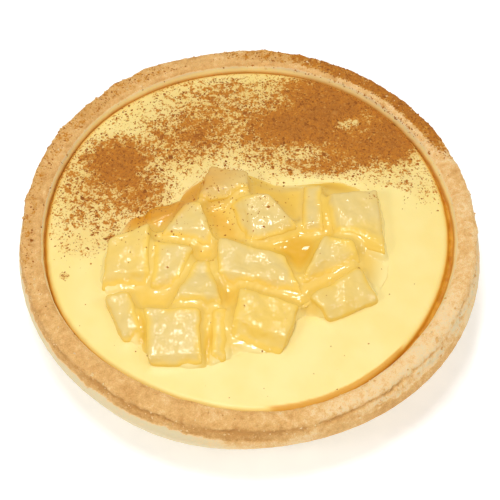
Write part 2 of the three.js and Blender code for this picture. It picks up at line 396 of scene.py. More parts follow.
@dataclass(frozen=True)
class Finish:
    """A surface whose material is made once and shared."""

    name: str

    def material(self) -> Material:
        """Finds the finish's material, or makes it.

        Returns:
            The material.
        """
        made = bpy.data.materials.get(self.name)
        if made is None:
            made = bpy.data.materials.new(self.name)
            made.use_nodes = True
            tree = made.node_tree
            tree.nodes.clear()
            shaded = add_node(tree, "BsdfPrincipled")
            feed(tree, tree.nodes.new("ShaderNodeOutputMaterial"), {"Surface": shaded})
            self.dress(tree, shaded.node)
        return made

    def dress(self, tree: NodeTree, shader: Node) -> None:
        """Lays the nodes that colour the shader; each finish has its own."""
        raise NotImplementedError


@dataclass(frozen=True)
class GroundCinnamon(Finish):
    """Ground bark, dry and matte: rust-brown grains, some dark and some tan, without any shine."""

    name: str = "cinnamon_ground"
    dark: str = "#8C501C"
    middle: str = "#B4702C"
    light: str = "#CC8E42"
    dust_thin: str = "#CC8C2A"
    dust: str = "#C0761E"
    dust_shade: str = "#AE6B20"
    # Fine dust is under 0.1 mm. It is drawn as flecks that are coarse enough to show.
    fleck: float = 0.6
    fleck_weight: float = 2.6
    clump: float = 1.7
    clump_weight: float = 2.4
    cover_start: float = 2.8
    cover_full: float = 3.3
    thick_start: float = 2.9
    thick_full: float = 4.5
    veil: float = 0.6
    veil_amount: float = 0.9

    def dress(self, tree: NodeTree, shader: Node) -> None:
        """Each loose grain has its own shade, read from the mesh."""
        shade = add_node(tree, "Attribute", output="Fac", attribute_name="shade")
        tones = [(0.0, self.dark), (0.55, self.middle), (1.0, self.light)]
        colour = add_node(tree, "ValToRGB", {"Fac": shade}, tones)
        feed(tree, shader, {"Base Color": colour, "Roughness": 0.9, "Specular IOR Level": 0.2})

    def over(self, tree: NodeTree, coords: NodeSocket, below: NodeSocket) -> tuple[NodeSocket, NodeSocket]:
        """Sifts fine dust over a colour, as thick as the mesh's own cinnamon attribute says.

        Args:
            tree: the material's nodes.
            coords: the texture places.
            below: the bare colour.

        Returns:
            The dusted colour, and how much of the surface is covered.
        """
        amount = add_node(tree, "Attribute", output="Fac", attribute_name="cinnamon")
        fleck = add_node(
            tree,
            "TexNoise",
            {"Vector": coords, "Scale": per_mm(self.fleck), "Detail": 3.0, "Roughness": 0.6},
        )
        clump = add_node(tree, "TexNoise", {"Vector": coords, "Scale": per_mm(self.clump), "Detail": 2.0})
        flecked = add_node(tree, "Math", {0: fleck, 1: self.fleck_weight, 2: amount}, **SCALED_SUM)
        level = add_node(tree, "Math", {0: clump, 1: self.clump_weight, 2: flecked}, **SCALED_SUM)
        cover = add_node(
            tree,
            "MapRange",
            {"Value": level, "From Min": self.cover_start, "From Max": self.cover_full},
            **SMOOTH_STEP,
        )
        thickness = add_node(
            tree, "MapRange", {"Value": level, "From Min": self.thick_start, "From Max": self.thick_full}
        )
        tones = [(0.0, self.dust_thin), (0.4, self.dust), (1.0, self.dust_shade)]
        tone = add_node(tree, "ValToRGB", {"Fac": thickness}, tones)
        veil = add_node(
            tree, "MapRange", {"Value": amount, "From Max": self.veil_amount, "To Max": self.veil}
        )
        veiled = add_node(
            tree, "Mix", {SHARE: veil, BELOW: below, ABOVE: linear(self.dust_thin)}, **COLOUR_MIX
        )
        dusted = add_node(tree, "Mix", {SHARE: cover, BELOW: veiled, ABOVE: tone}, **COLOUR_MIX)
        return dusted, cover


CINNAMON = GroundCinnamon()


@dataclass(frozen=True)
class BakedShortcrust(Finish):
    """Shortcrust pressed and baked in a tin: sandy and matte, tan where it browned, cream on the wall;
    painted shade darkens its groove.
    """

    name: str = "shortcrust_baked_in_tin"
    cream: str = "#E4D1A6"
    pale: str = "#F3D098"
    tan: str = "#E6B570"
    brown: str = "#C8924F"
    buttery: str = "#FDE096"
    butter_stain: str = "#DA9C38"
    buttered: float = 0.5
    crumb: float = 1.4
    crumb_weight: float = 0.5
    # Flour is under 0.1 mm. Its grain is drawn coarse enough to show.
    grain: float = 0.32
    grain_weight: float = 0.7
    grain_depth: float = 0.25
    glow_depth: float = 0.8

    def dress(self, tree: NodeTree, shader: Node) -> None:
        """Mottles the pastry's brown, darkens its groove as painted shade, stains the inside where the
        custard lay, and sifts cinnamon on top.
        """
        coords = add_node(tree, "TexCoord", output="Object")
        # This attribute carries how brown the pastry baked, and the groove's painted shade.
        bake = add_node(tree, "Attribute", output="Fac", attribute_name="bake")
        crumb = add_node(tree, "TexNoise", {"Vector": coords, "Scale": per_mm(self.crumb), "Detail": 3.0})
        grain = add_node(tree, "TexNoise", {"Vector": coords, "Scale": per_mm(self.grain), "Detail": 2.0})
        mottled = add_node(tree, "Math", {0: crumb, 1: self.crumb_weight, 2: bake}, **SCALED_SUM)
        speckled = add_node(tree, "Math", {0: grain, 1: self.grain_weight, 2: mottled}, **SCALED_SUM)
        noise_mean = (self.crumb_weight + self.grain_weight) / 2
        level = add_node(tree, "Math", {0: speckled, 1: noise_mean}, operation="SUBTRACT")
        tones = [(0.05, self.cream), (0.35, self.pale), (0.6, self.tan), (1.0, self.brown)]
        colour = add_node(tree, "ValToRGB", {"Fac": level}, tones)
        stain = add_node(tree, "Attribute", output="Fac", attribute_name="stain")
        tones = [(self.buttered, self.buttery), (1.0, self.butter_stain)]
        butter = add_node(tree, "ValToRGB", {"Fac": stain}, tones)
        share = add_node(tree, "MapRange", {"Value": stain, "From Max": self.buttered})
        stained = add_node(tree, "Mix", {SHARE: share, BELOW: colour, ABOVE: butter}, **COLOUR_MIX)
        dusted, _ = CINNAMON.over(tree, coords, stained)
        bump = add_node(tree, "Bump", {"Strength": 0.5, "Distance": self.grain_depth * MM, "Height": grain})
        look = {
            "Base Color": dusted,
            "Roughness": 0.8,
            "Specular IOR Level": 0.3,
            "Subsurface Weight": 0.2,
            "Subsurface Radius": (1.0, 0.6, 0.3),
            "Subsurface Scale": self.glow_depth * MM,
            "Normal": bump,
        }
        feed(tree, shader, look)


@dataclass(frozen=True)
class SetCustard(Finish):
    """Egg custard baked until set: smooth and satin, glowing a little inside, browner along its edge."""

    name: str = "custard_baked_set"
    yellow: str = "#FAE597"
    cool_yellow: str = "#F8DF8B"
    edge: str = "#F3CD70"
    side: str = "#DD9D30"
    browned: float = 0.6
    cloud: float = 11.0
    skin: float = 1.2
    skin_depth: float = 0.12
    satin: float = 0.38
    dusty: float = 0.85
    glow_depth: float = 0.4

    def dress(self, tree: NodeTree, shader: Node) -> None:
        """Clouds the yellow faintly, browns the edge, and sifts cinnamon on top."""
        coords = add_node(tree, "TexCoord", output="Object")
        cloud = add_node(tree, "TexNoise", {"Vector": coords, "Scale": per_mm(self.cloud), "Detail": 2.0})
        skin = add_node(tree, "TexNoise", {"Vector": coords, "Scale": per_mm(self.skin), "Detail": 2.0})
        clouded = add_node(tree, "ValToRGB", {"Fac": cloud}, [(0.35, self.yellow), (0.65, self.cool_yellow)])
        edge = add_node(tree, "Attribute", output="Fac", attribute_name="edge")
        browning = add_node(tree, "ValToRGB", {"Fac": edge}, [(0.45, self.edge), (0.9, self.side)])
        share = add_node(tree, "MapRange", {"Value": edge, "From Max": self.browned}, **SMOOTH_STEP)
        browned = add_node(tree, "Mix", {SHARE: share, BELOW: clouded, ABOVE: browning}, **COLOUR_MIX)
        dusted, cover = CINNAMON.over(tree, coords, browned)
        roughness = add_node(tree, "MapRange", {"Value": cover, "To Min": self.satin, "To Max": self.dusty})
        bump = add_node(tree, "Bump", {"Strength": 0.12, "Distance": self.skin_depth * MM, "Height": skin})
        look = {
            "Base Color": dusted,
            "Roughness": roughness,
            "IOR": 1.42,
            "Subsurface Weight": 0.15,
            "Subsurface Radius": (1.0, 0.65, 0.25),
            "Subsurface Scale": self.glow_depth * MM,
            "Normal": bump,
        }
        feed(tree, shader, look)


@dataclass(frozen=True)
class SyrupWet(Finish):
    """Food wet with clear syrup: sharply glossy, and browned where cinnamon fell in the syrup."""

    spiced: str = "#DE9A22"
    roughness: float = 0.4

    def coat(self, tree: NodeTree, shader: Node, colour: NodeSocket) -> None:
        """Browns a colour with cinnamon and lays the syrup over it.

        Args:
            tree: the material's nodes.
            shader: the shader to set.
            colour: the food's own colour.
        """
        spice = add_node(tree, "Attribute", output="Fac", attribute_name="cinnamon")
        spiced = add_node(
            tree, "Mix", {SHARE: spice, BELOW: colour, ABOVE: linear(self.spiced)}, **COLOUR_MIX
        )
        look = {
            "Base Color": spiced,
            "Roughness": self.roughness,
            "IOR": 1.36,
            "Coat Weight": 1.0,
            "Coat Roughness": 0.03,
            "Coat IOR": 1.43,
        }
        feed(tree, shader, look)


@dataclass(frozen=True)
class CookedFruit(SyrupWet):
    """Fruit diced and stewed soft: pale yellow flesh, golden where it steeped in syrup and, as painted glow,
    on its sides, under a wet coat.
    """

    name: str = "fruit_diced_and_stewed"
    flesh: str = "#E8CB7E"
    soaked_and_glow: str = "#F6CC56"
    cloud: float = 4.0
    cloud_weight: float = 0.6
    # Cells of the fruit are about 0.2 mm. Their pitting is drawn coarse enough to show.
    pitting: float = 0.7
    pitting_depth: float = 0.2

    def dress(self, tree: NodeTree, shader: Node) -> None:
        """Deepens the flesh where it steeped in syrup, turns its sides golden as painted glow, and coats it
        wet.
        """
        coords = add_node(tree, "TexCoord", output="Object")
        cloud = add_node(tree, "TexNoise", {"Vector": coords, "Scale": per_mm(self.cloud), "Detail": 4.0})
        # This attribute holds the syrup's colour and, on the sides, a painted glow of light passing through
        # the fruit.
        soak = add_node(tree, "Attribute", output="Fac", attribute_name="soak")
        level = add_node(tree, "Math", {0: cloud, 1: self.cloud_weight, 2: soak}, **SCALED_SUM)
        colour = add_node(tree, "ValToRGB", {"Fac": level}, [(0.2, self.flesh), (1.0, self.soaked_and_glow)])
        self.coat(tree, shader, colour)
        pitting = add_node(
            tree, "TexNoise", {"Vector": coords, "Scale": per_mm(self.pitting), "Detail": 1.0}
        )
        bump = add_node(
            tree, "Bump", {"Strength": 0.6, "Distance": self.pitting_depth * MM, "Height": pitting}
        )
        feed(tree, shader, {"Coat Normal": bump})


@dataclass(frozen=True)
class AmberJelly(SyrupWet):
    """Fruit juice set to a jelly: wet and glassy on top, pale where it is thin, amber where it is deep."""

    name: str = "jelly_set_clear"
    over_custard: str = "#FAE394"
    thin: str = "#F4CF6A"
    amber: str = "#F1C64E"
    deep: str = "#E6AE1C"
    spiced: str = "#DE9400"
    roughness: float = 0.35

    def dress(self, tree: NodeTree, shader: Node) -> None:
        """Colours the jelly by its own depth, read from the mesh, and coats it wet."""
        depth = add_node(tree, "Attribute", output="Fac", attribute_name="depth")
        tones = [(0.0, self.over_custard), (0.3, self.thin), (0.6, self.amber), (1.0, self.deep)]
        self.coat(tree, shader, add_node(tree, "ValToRGB", {"Fac": depth}, tones))


@dataclass(frozen=True)
class BrownedSyrup(Finish):
    """Syrup that seeped from the custard and browned in the oven: sticky, satin, orange-brown."""

    name: str = "syrup_browned"
    bright: str = "#E3A634"
    dark: str = "#C87C14"
    cloud: float = 3.0
    glow_depth: float = 0.8

    def dress(self, tree: NodeTree, shader: Node) -> None:
        """Clouds the brown and lets a little light in."""
        coords = add_node(tree, "TexCoord", output="Object")
        cloud = add_node(tree, "TexNoise", {"Vector": coords, "Scale": per_mm(self.cloud), "Detail": 2.0})
        colour = add_node(tree, "ValToRGB", {"Fac": cloud}, [(0.35, self.bright), (0.65, self.dark)])
        look = {
            "Base Color": colour,
            "Roughness": 0.3,
            "IOR": 1.4,
            "Subsurface Weight": 0.3,
            "Subsurface Radius": (1.0, 0.5, 0.1),
            "Subsurface Scale": self.glow_depth * MM,
        }
        feed(tree, shader, look)


@dataclass(frozen=True)
class PaleFloor(Finish):
    """White acrylic sheet lit from below: matte, glowing faintly, with a barely seen stipple."""

    name: str = "acrylic_backlit_white"
    white: str = "#FCFCFC"
    stipple_shade: str = "#F8F8F8"
    stipple: float = 6.0

    def dress(self, tree: NodeTree, shader: Node) -> None:
        """A faint stipple between two whites."""
        coords = add_node(tree, "TexCoord", output="Object")
        stipple = add_node(
            tree, "TexNoise", {"Vector": coords, "Scale": per_mm(self.stipple), "Detail": 2.0}
        )
        colour = add_node(tree, "ValToRGB", {"Fac": stipple}, [(0.4, self.white), (0.6, self.stipple_shade)])
        look = {
            "Base Color": colour,
            "Roughness": 0.9,
            "Emission Color": linear(self.white),
            "Emission Strength": 0.26,
        }
        feed(tree, shader, look)


def place(piece: Object, finish: Finish, slot: Slot | None, *nodes: str) -> None:
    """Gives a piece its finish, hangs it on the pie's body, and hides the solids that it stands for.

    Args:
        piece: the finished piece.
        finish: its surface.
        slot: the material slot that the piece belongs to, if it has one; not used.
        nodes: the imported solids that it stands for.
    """
    piece.data.materials.clear()
    piece.data.materials.append(finish.material())
    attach(piece, BODY)
    if nodes:
        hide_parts(*nodes)
    log.info("%s: %d faces", piece.name, len(piece.data.polygons))


# Loose grains

GRAIN_CORNERS = np.array([[1, 0, 0], [-1, 0, 0], [0, 1, 0], [0, -1, 0], [0, 0, 1], [0, 0, -1]], float)
GRAIN_FACES = np.array(
    [[0, 2, 4], [2, 1, 4], [1, 3, 4], [3, 0, 4], [2, 0, 5], [1, 2, 5], [3, 1, 5], [0, 3, 5]]
)
GRAIN_LENGTH = (0.8, 1.5)
GRAIN_WIDTH = (0.6, 1.0)
GRAIN_UNEVEN = (0.65, 1.25)


def scatter(
    name: str, seats: Array, tops: Array, sizes: Array, flatness: float, rng: np.random.Generator
) -> Object:
    """Makes one mesh of many small eight-sided grains, each uneven and turned at random.

    Args:
        name: the piece's name.
        seats: where each grain lies, in millimetres.
        tops: the surface's normal there.
        sizes: half the width of each grain.
        flatness: a grain's height over its width.
        rng: the source of its unevenness.

    Returns:
        The grains, each with its own shade.
    """
    count = len(seats)
    spin = rng.uniform(0, 2 * math.pi, count)
    clear_of_x = np.abs(tops[:, :1]) < 0.9
    helper = np.where(clear_of_x, [[1.0, 0, 0]], [[0, 1.0, 0]])
    side = np.cross(tops, helper)
    side /= np.linalg.norm(side, axis=1, keepdims=True)
    other = np.cross(tops, side)
    first = side * np.cos(spin)[:, None] + other * np.sin(spin)[:, None]
    second = np.cross(tops, first)
    axes = np.stack([first, second, tops], axis=1)
    lengths = rng.uniform(*GRAIN_LENGTH, count)
    widths = rng.uniform(*GRAIN_WIDTH, count)
    stretch = np.stack([lengths, widths, np.full(count, flatness)], axis=1)
    corners = GRAIN_CORNERS[None] * (sizes[:, None] * stretch)[:, None, :]
    corners *= rng.uniform(*GRAIN_UNEVEN, (count, len(GRAIN_CORNERS), 1))
    points = seats[:, None, :] + np.einsum("nki,nij->nkj", corners, axes)
    faces = GRAIN_FACES[None] + (np.arange(count) * len(GRAIN_CORNERS))[:, None, None]
    grains = new_piece(name, points.reshape(-1, 3), faces.reshape(-1, 3).tolist())
    set_attribute(grains.data, "shade", np.repeat(rng.beta(2, 2, count), len(GRAIN_CORNERS)))
    return grains


@dataclass
class CinnamonDusting:
    """Cinnamon shaken over the pie's back: fine dust in the surfaces below, and loose grains on them."""

    patches: tuple[Patch, ...] = (
        Patch(24, 42, 15, 7.5, -20, 1.5),
        Patch(15, 34, 10, 6, 0, 1.3),
        Patch(31, 27, 13, 6, -5, 1.2),
        Patch(40, 33, 6, 8, 0, 1.0),
        Patch(19, 20.5, 9, 3.5, 0, 0.7),
        Patch(27, 35, 6, 2, 20, -0.7),
        Patch(7, 31, 8, 12, 0, 0.5),
        Patch(-4, 36, 12, 14, 0, 0.4),
        Patch(-18, 34, 10, 6, 0, 0.33),
        Patch(-20, 26, 12, 7, 10, 0.37),
        Patch(-22, 29, 24, 13, 15, 0.2),
        Patch(-35, 22, 6.5, 7, 0, 1.2),
        Patch(-34, 10, 11, 9, 0, 0.48),
        Patch(-27, 12, 6, 7, -45, 0.5),
        Patch(-45, 17, 7, 14, -15, 0.35),
        Patch(-43, -1, 8, 8, 0, 0.22),
        Patch(-35.5, -2.5, 1.3, 1, 20, 0.8),
        Patch(-47, -14, 1.3, 1, 0, 0.6),
        Patch(-12, 45, 22, 6, 5, 0.25),
        Patch(33, 18, 14, 4, -10, 0.2),
        Patch(45, 17, 6, 10, 20, 0.15),
        Patch(32.9, 7.5, 1.6, 1.2, 0, 0.8),
        Patch(-5, 8, 15, 10, 0, 0.16),
        Patch(-22, -3, 13, 8, 0, 0.1),
        Patch(0, 0, 70, 70, 0, 0.002),
    )
    rim_patches: tuple[Patch, ...] = (
        Patch(32, 48, 20, 7, -35, 1.15),
        Patch(47, 33, 10, 6, -55, 0.9),
        Patch(8, 58, 16, 5, -8, 0.4),
        Patch(-40, 42, 26, 9, 42, 0.25),
        Patch(-56, 10, 8, 26, 0, 0.16),
    )
    rim_inside: float = 54.3
    dusty_rim: Range = (54.8, 56.2)
    thickest: float = 1.7
    on_fruit: float = 0.4
    bare: float = 1.2
    bare_amount: float = 0.1
    clump: Relief = Relief(2.2, 1.1, 5, 3)
    densest: float = 2.0
    per_square: float = 8.0
    reach: float = 61.0
    drop_height: float = 1000.0
    steepest: float = 0.3
    grain: float = 0.16
    grain_spread: float = 0.45
    flatness: float = 0.6
    seed: int = 7

    def amount(self, points: Array) -> Array:
        """How thick the cinnamon lies at places on top of the pie.

        Args:
            points: places in millimetres.

        Returns:
            The amount at each place, 0 for none and 1 for a closed layer.
        """
        radius = np.hypot(points[:, 0], points[:, 1])
        rim = total(self.rim_patches, points) * ease(radius, *self.dusty_rim)
        inside = total(self.patches, points)
        return np.clip(np.where(radius < self.rim_inside, inside, rim), 0, self.thickest)

    def cover(self, points: Array, up: Array) -> Array:
        """The amount as a finish reads it, on surfaces that face up: well below 0 where they are bare."""
        amount = self.amount(points) * up
        return amount - self.bare * ease(amount, self.bare_amount, 0)

    def sow(self, rng: np.random.Generator) -> Array:
        """Chooses places for the grains, in clumps and as dense as the dust is thick.

        Args:
            rng: the source of chance.

        Returns:
            The places, seen from above.
        """
        tries = int(self.per_square * (2 * self.reach) ** 2)
        spots = np.zeros((tries, 3))
        spots[:, :2] = rng.uniform(-self.reach, self.reach, (tries, 2))
        thick = self.amount(spots)
        chance = rng.uniform(0, 1, tries)
        near = chance < self.densest * thick
        spots, thick, chance = spots[near], thick[near], chance[near]
        return spots[chance < thick * (1 + self.clump.lift(spots))]

    def build(self, shell: Object, filling: Object, jelly: Object, dice: Sequence[Object]) -> None:
        """Scatters loose grains where the dust lies, resting on whatever is below them.

        Args:
            shell: the pastry.
            filling: the custard.
            jelly: the jelly round the fruit.
            dice: the fruit.
        """
        rng = np.random.default_rng(self.seed)
        spots = self.sow(rng)
        fruit = merged("fruit", [jelly, *dice])
        grounds = [(surface(shell), 1.0), (surface(filling), 1.0), (surface(fruit), self.on_fruit)]
        discard(fruit)
        seats = []
        tops = []
        for spot, luck in zip(spots, rng.uniform(0, 1, len(spots))):
            start = Vector((*spot[:2] * MM, self.drop_height * MM))
            hits = [(tree.ray_cast(start, DOWN), share) for tree, share in grounds]
            found = [(hit[0], hit[1], share) for hit, share in hits if hit[0] is not None]
            if not found:
                continue
            seat, normal, share = max(found, key=lambda hit: hit[0].z)
            if luck < share and normal.z > self.steepest:
                seats.append(np.array(seat) / MM)
                tops.append(np.array(normal))
        sizes = self.grain * np.exp(rng.normal(0, self.grain_spread, len(seats)))
        grains = scatter("cinnamon_grains", np.array(seats), np.array(tops), sizes, self.flatness, rng)
        place(grains, CINNAMON, None)


# The pie


@dataclass
class CrustZones:
    """How far each vertex of the shell belongs to each of its zones, from 0 to 1, and how far out it is."""

    top: Array
    lip: Array
    inner: Array
    wall: Array
    groove: Array
    pits: Array
    crumbs: Array
    radius: Array


@dataclass
class Crust:
    """The pastry shell: a crumbly rim and lip over a wall that the tin pressed smooth."""

    dusting: CinnamonDusting
    voxel: float = 0.5
    rounds: int = 4
    rim_height: float = 25.0
    lip_bottom: float = 21.1
    lip_fade: float = 0.4
    foot_shift: float = -1.5
    floor: float = 5.5
    top_facing: Range = (0.3, 0.7)
    lip_facing: Range = (-0.1, 0.4)
    inner_facing: Range = (0.1, -0.4)
    wall_facing: Range = (0.1, 0.5)
    dusty_facing: Range = (0.1, 0.6)
    wall_height: Range = (6, 18)
    foot_height: Range = (0.3, 2.5)
    right_side: Range = (0, 45)

    # How rough each zone is, and the relief that it has
    wall_rough: float = 0.28
    top_rough: float = 0.62
    lip_rough: float = 0.82
    inner_smooth: float = 0.23
    crumb: Relief = Relief(1.2, 0.2, 1, 3)
    lump: Relief = Relief(6.0, 0.22, 2)
    inner_lump: float = 0.8
    pit: Relief = Relief(2.2, 0.35, 3)
    pit_start: Range = (0.2, 0.7)
    top_pits: float = 0.3
    ragged: Relief = Relief(1.8, 0.6, 4)
    groove_sector: Sector = Sector(-1.4, 1.6, 1.28)
    groove_break: Relief = Relief(9.0, 0.9, 13)
    groove_whole: float = 0.8
    groove_depth: float = 0.6
    groove_height: float = 23.4
    groove_width: float = 0.5
    groove_facing: Range = (0.1, 0.4)

    # How brown each zone is drawn: its own level, and what adds to it or takes from it; the groove's share
    # is painted shade
    top_bake: float = 0.55
    lip_bake: float = 0.68
    lip_paler: float = 0.4
    rim_bake: float = 0.12
    rim_paler: float = 0.16
    pale_sector: Sector = Sector(-0.85, 0.7, 0.2)
    pale_bake: float = 0.2
    pit_bake: float = 0.2
    crumb_bake: float = 0.12
    patch: Relief = Relief(7.0, 0.14, 12)
    wall_tan: float = 0.28
    brown_sector: Sector = Sector(-1.1, 0.75, 0.45)
    wall_brown: float = 0.45
    wall_patch: float = 0.16
    wall_crumb: float = 0.1
    # Painted shade: the groove under the rim is drawn darker, as its crease lies in shadow.
    groove_painted_shade: float = 0.3

    # The butter stain inside, darker along the custard
    wall_stain: float = 0.45
    custard_edge: float = 21.8
    stain_fade: float = 1.6
    below_rim: Range = (0.6, 1.6)

    loose_crumb: float = 0.26
    loose_spread: float = 0.35
    loose_flatness: float = 0.8
    loose_bake: Range = (0.25, 0.85)
    loose_count: int = 700
    seed: int = 3

    def build(self) -> Object:
        """Grows the shell from its solid and roughens it where the tin didn't press it.

        Returns:
            The shell.
        """
        shell = solid_copy("crust", "shortcrust_shell")
        soften(shell, self.voxel, self.rounds)
        mesh = shell.data
        points = points_of(mesh)
        normals = normals_of(mesh)
        zones = self.zones(points, normals)
        grow(shell, self.relief(points, zones))
        set_attribute(mesh, "bake", self.bake(points, zones))
        set_attribute(mesh, "stain", self.stain(points, zones))
        up = ease(normals[:, 2], *self.dusty_facing) * (zones.radius > self.dusting.rim_inside)
        set_attribute(mesh, "cinnamon", self.dusting.cover(points, up))
        place(shell, BakedShortcrust(), Slot.PASTRY, "crust")
        self.shed_crumbs(shell, zones.lip + self.top_pits * zones.top)
        return shell

    def zones(self, points: Array, normals: Array) -> CrustZones:
        """Tells the rim, lip, walls and crease apart by height and by where the surface faces.

        Args:
            points: the shell's vertices in millimetres.
            normals: their normals.

        Returns:
            The zones.
        """
        height = points[:, 2]
        spoke = points[:, :2].copy()
        spoke[:, 0] -= self.foot_shift * (1 - height / self.rim_height)
        radius = np.linalg.norm(spoke, axis=1)
        facing = np.einsum("ij,ij->i", normals[:, :2], spoke / np.maximum(radius, 1)[:, None])
        edge = height + self.ragged.lift(points)
        top = ease(normals[:, 2], *self.top_facing) * (height > self.lip_bottom)
        above = ease(edge, self.lip_bottom - self.lip_fade, self.lip_bottom + self.lip_fade)
        lip = ease(facing, *self.lip_facing) * above * (1 - top)
        wall = ease(facing, *self.wall_facing) * (1 - np.maximum(top, lip)) * ease(height, *self.wall_height)
        line = np.exp(-(((edge - self.groove_height) / self.groove_width) ** 2))
        broken = np.clip(self.groove_whole + self.groove_break.lift(points), 0, 1)
        return CrustZones(
            top=top,
            lip=lip,
            inner=ease(facing, *self.inner_facing) * (height > self.floor),
            wall=wall,
            groove=line * ease(facing, *self.groove_facing) * self.groove_sector.at(points) * broken,
            pits=ease(self.pit.raw(points), *self.pit_start),
            crumbs=self.crumb.raw(points),
            radius=radius,
        )

    def relief(self, points: Array, zones: CrustZones) -> Array:
        """How far crumbs, lumps, pits and the crease lift the shell's surface.

        Args:
            points: the shell's vertices in millimetres.
            zones: where they are.

        Returns:
            The lift of each vertex.
        """
        rough = self.wall_rough + self.top_rough * zones.top + self.lip_rough * zones.lip
        rough = np.clip(rough - self.inner_smooth * zones.inner, 0, 1)
        lift = self.crumb.height * zones.crumbs * rough
        lift += self.lump.lift(points) * (np.maximum(zones.top, zones.lip) + self.inner_lump * zones.inner)
        lift -= self.pit.height * zones.pits * (zones.lip + self.top_pits * zones.top)
        lift -= self.groove_depth * zones.groove
        return lift * ease(points[:, 2], *self.foot_height)

    def bake(self, points: Array, zones: CrustZones) -> Array:
        """How brown the pastry is drawn: paler to the right and brown in front, uneven all over, darker in
        the groove as painted shade.

        Args:
            points: the shell's vertices in millimetres.
            zones: where they are.

        Returns:
            How brown each vertex is, 0 for cream and 1 for brown.
        """
        right = ease(points[:, 0], *self.right_side)
        slow = self.patch.raw(points)
        rim = self.rim_bake - self.rim_paler * right - self.pale_bake * self.pale_sector.at(points)
        rim += self.pit_bake * zones.pits - self.crumb_bake * zones.crumbs + self.patch.height * slow
        wall = self.wall_tan * right + self.wall_brown * self.brown_sector.at(points)
        wall += self.wall_patch * slow - self.wall_crumb * zones.crumbs
        level = self.top_bake * zones.top + (self.lip_bake - self.lip_paler * right) * zones.lip
        # The groove's term is painted shade in the crease under the rim.
        return level + rim * (zones.top + zones.lip) + wall * zones.wall + self.groove_painted_shade * zones.groove

    def stain(self, points: Array, zones: CrustZones) -> Array:
        """How far the custard's butter has stained the inner wall.

        Args:
            points: the shell's vertices in millimetres.
            zones: where they are.

        Returns:
            The stain of each vertex, from 0 to 1.
        """
        height = points[:, 2]
        soaked_and_glow = ease(height - self.custard_edge, self.stain_fade, 0)
        shown = zones.inner * ease(self.rim_height - height, *self.below_rim)
        return shown * (self.wall_stain + (1 - self.wall_stain) * soaked_and_glow)

    def shed_crumbs(self, shell: Object, share: Array) -> None:
        """Leaves loose crumbs on the lip, and fewer on the rim.

        Args:
            shell: the finished shell.
            share: how likely a crumb is to lie at each of its vertices.
        """
        rng = np.random.default_rng(self.seed)
        chosen = rng.choice(len(share), self.loose_count, replace=False, p=share / share.sum())
        sizes = self.loose_crumb * np.exp(rng.normal(0, self.loose_spread, self.loose_count))
        seats, tops = points_of(shell.data)[chosen], normals_of(shell.data)[chosen]
        crumbs = scatter("pastry_crumbs", seats, tops, sizes, self.loose_flatness, rng)
        corners = len(GRAIN_CORNERS)
        bake = rng.uniform(*self.loose_bake, self.loose_count)
        set_attribute(crumbs.data, "bake", np.repeat(bake, corners))
        set_attribute(crumbs.data, "cinnamon", np.full(self.loose_count * corners, -self.dusting.bare))
        place(crumbs, BakedShortcrust(), Slot.PASTRY)


@dataclass
class Custard:
    """The set filling: nearly level, faintly dimpled, rounded and a little browned at the shell."""

    dusting: CinnamonDusting
    voxel: float = 0.6
    rounds: int = 4
    plug_reach: float = 1.2
    plug_top: float = 23.2
    cling: float = 0.36
    top_facing: Range = (0.2, 0.8)
    swell: Relief = Relief(13.0, 0.1, 4, 1)
    dimple: Relief = Relief(4.5, 0.03, 6)
    meniscus: float = 0.5
    meniscus_width: float = 1.3
    edge_height: Range = (22.8, 21.7)
    edge_radius: float = 48.5
    sticky_sector: Sector = Sector(-1.1, 0.42, 0.336)
    sticky_width: Range = (2.3, 1.7)
    sticky_brown: float = 0.8

    def form(self, dice: Sequence[Object]) -> Object:
        """Grows the filling from its solid, closed under the jelly and against the dice.

        Args:
            dice: the fruit that sits in it.

        Returns:
            The filling, still plain.
        """
        solid = solid_copy("custard", "custard_solid")
        pool = solid_copy("jelly", "pool")
        plug = merged("plug", [pool, *dice])
        grow(plug, self.plug_reach)
        closed = points_of(plug.data)
        closed[:, 2] = np.minimum(closed[:, 2], self.plug_top)
        set_points(plug.data, closed)
        filling = merged("set_custard", [solid, plug])
        soften(filling, self.voxel, self.rounds)
        discard(solid, pool, plug)
        return filling

    def build(self, dice: Sequence[Object], shell: Object) -> Object:
        """Makes the filling, which climbs a little at the dice, and finishes it.

        Args:
            dice: the fruit that sits in it.
            shell: the pastry round it.

        Returns:
            The filling.
        """
        filling = self.form(dice)
        mesh = filling.data
        points = points_of(mesh)
        up = ease(normals_of(mesh)[:, 2], *self.top_facing)
        fruit = merged("fruit", dice)
        gap = gaps_to(surface(fruit), mesh)
        discard(fruit)
        wave = self.swell.lift(points) + self.dimple.lift(points)
        wave += self.meniscus * np.exp(-gap / self.meniscus_width)
        grow(filling, self.cling * (1 - up) + wave * up)
        away = gaps_to(surface(shell), mesh)
        sticky = self.sticky_brown * self.sticky_sector.at(points) * ease(away, *self.sticky_width)
        outer = np.hypot(points[:, 0], points[:, 1]) > self.edge_radius
        set_attribute(mesh, "edge", np.maximum(ease(points[:, 2], *self.edge_height) * outer, sticky))
        set_attribute(mesh, "cinnamon", self.dusting.cover(points, up))
        place(filling, SetCustard(), Slot.CUSTARD, "custard")
        return filling


